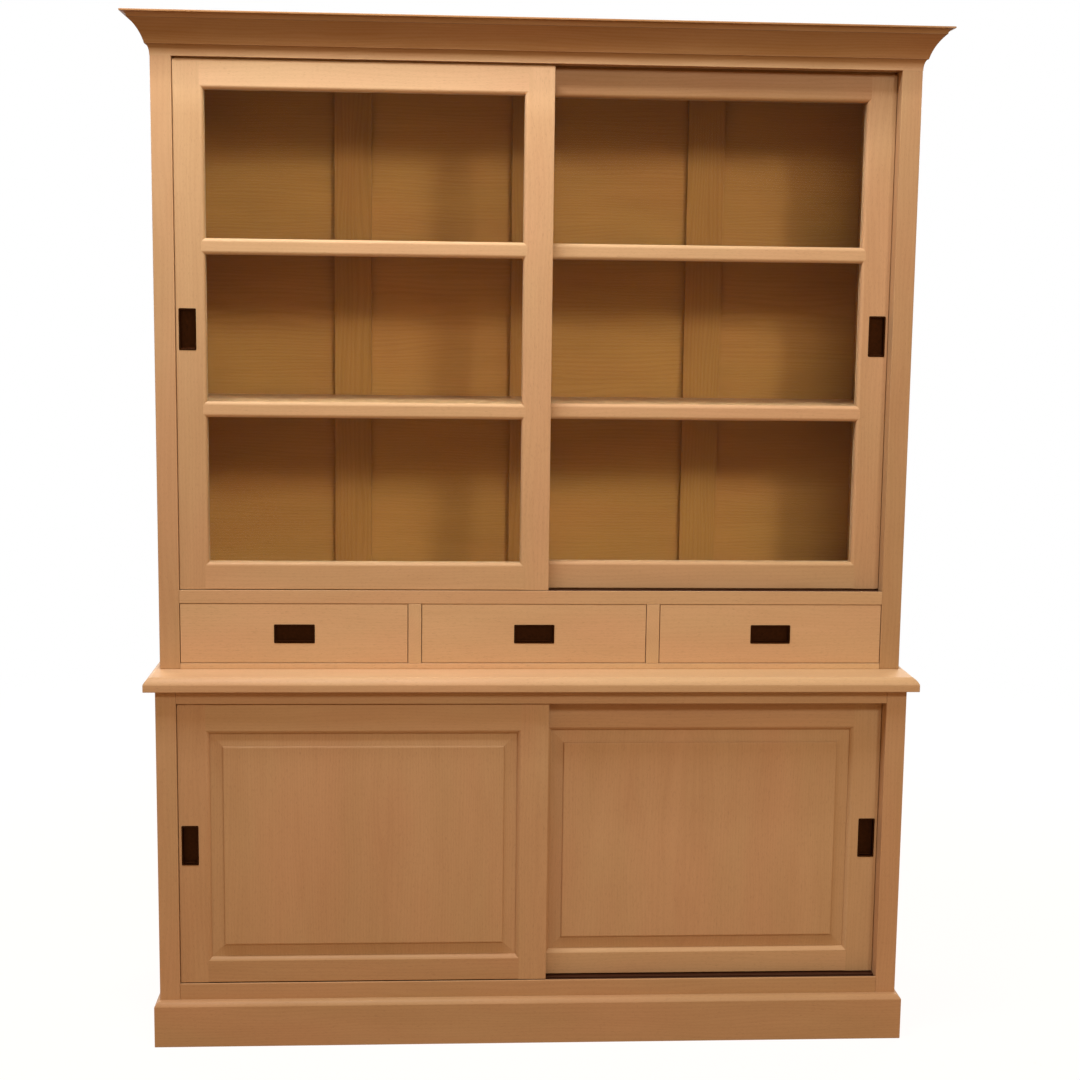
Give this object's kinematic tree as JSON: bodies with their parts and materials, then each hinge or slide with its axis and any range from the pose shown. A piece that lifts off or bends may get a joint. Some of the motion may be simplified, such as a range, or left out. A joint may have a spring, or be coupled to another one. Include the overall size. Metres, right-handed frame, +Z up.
{
  "type": "buffet cabinet",
  "caption": "Tall cabinet: glazed sliding doors over a row of drawers, panelled sliding doors below a moulded ledge, on a plinth.",
  "frame": {"origin": "on the floor, in the middle of the outline's box: midway between the sides, and midway between the ledge's front edge and the back", "axes": "+X to the right as seen from the front, +Y from the front to the back, +Z up"},
  "size_m": [1.704, 0.5, 2.168],
  "materials": {
    "bare_hardwood": "sanded, unfinished",
    "inner_hardwood": "sanded, unfinished",
    "clear_glass": "polished, clear",
    "dark_bronze": "antique, near black",
    "track_plastic": "extruded, dark brown"
  },
  "bodies": {
    "cabinet": {"base_back": "inner_hardwood", "base_deck": "inner_hardwood", "base_door_track": "track_plastic", "base_head_rail": "bare_hardwood", "base_post_left": "bare_hardwood", "base_post_right": "bare_hardwood", "base_shelf": "inner_hardwood", "base_shelf_upright": "inner_hardwood", "base_side_left": "bare_hardwood", "base_side_right": "bare_hardwood", "base_sill_rail": "bare_hardwood", "cornice_front": "bare_hardwood", "cornice_left": "bare_hardwood", "cornice_right": "bare_hardwood", "display_floor": "inner_hardwood", "drawer_divider_left": "bare_hardwood", "drawer_divider_right": "bare_hardwood", "drawer_guide_left": "inner_hardwood", "drawer_guide_right": "inner_hardwood", "hutch_back_frame": "inner_hardwood", "hutch_back_sheet": "inner_hardwood", "hutch_bottom": "bare_hardwood", "hutch_cap": "bare_hardwood", "hutch_door_track": "track_plastic", "hutch_head_rail": "bare_hardwood", "hutch_post_left": "bare_hardwood", "hutch_post_right": "bare_hardwood", "hutch_side_left": "bare_hardwood", "hutch_side_right": "bare_hardwood", "hutch_sill_rail": "bare_hardwood", "ledge": "bare_hardwood", "plinth_front": "bare_hardwood", "plinth_left": "bare_hardwood", "plinth_right": "bare_hardwood", "shelf_lower": "inner_hardwood", "shelf_upper": "inner_hardwood"},
    "glass_door_left": {"glass_door_left_frame": "bare_hardwood", "glass_door_left_glass": "clear_glass", "glass_door_left_pull": "dark_bronze"},
    "glass_door_right": {"glass_door_right_frame": "bare_hardwood", "glass_door_right_glass": "clear_glass", "glass_door_right_pull": "dark_bronze"},
    "panel_door_left": {"panel_door_left_frame": "bare_hardwood", "panel_door_left_panel": "bare_hardwood", "panel_door_left_pull": "dark_bronze"},
    "panel_door_right": {"panel_door_right_frame": "bare_hardwood", "panel_door_right_panel": "bare_hardwood", "panel_door_right_pull": "dark_bronze"},
    "drawer_left": {"drawer_left_front": "bare_hardwood", "drawer_left_box": "inner_hardwood", "drawer_left_bottom": "inner_hardwood", "drawer_left_pull": "dark_bronze"},
    "drawer_middle": {"drawer_middle_front": "bare_hardwood", "drawer_middle_box": "inner_hardwood", "drawer_middle_bottom": "inner_hardwood", "drawer_middle_pull": "dark_bronze"},
    "drawer_right": {"drawer_right_front": "bare_hardwood", "drawer_right_box": "inner_hardwood", "drawer_right_bottom": "inner_hardwood", "drawer_right_pull": "dark_bronze"}
  },
  "joints": [
    {"name": "glass_door_left_slide", "type": "slide", "parent": "cabinet", "child": "glass_door_left", "axis": [1, 0, 0], "range_m": [0, 0.726]},
    {"name": "glass_door_right_slide", "type": "slide", "parent": "cabinet", "child": "glass_door_right", "axis": [-1, 0, 0], "range_m": [0, 0.726]},
    {"name": "panel_door_left_slide", "type": "slide", "parent": "cabinet", "child": "panel_door_left", "axis": [1, 0, 0], "range_m": [0, 0.726]},
    {"name": "panel_door_right_slide", "type": "slide", "parent": "cabinet", "child": "panel_door_right", "axis": [-1, 0, 0], "range_m": [0, 0.726]},
    {"name": "drawer_left_slide", "type": "slide", "parent": "cabinet", "child": "drawer_left", "axis": [0, -1, 0], "range_m": [0, 0.28]},
    {"name": "drawer_middle_slide", "type": "slide", "parent": "cabinet", "child": "drawer_middle", "axis": [0, -1, 0], "range_m": [0, 0.28]},
    {"name": "drawer_right_slide", "type": "slide", "parent": "cabinet", "child": "drawer_right", "axis": [0, -1, 0], "range_m": [0, 0.28]}
  ]
}
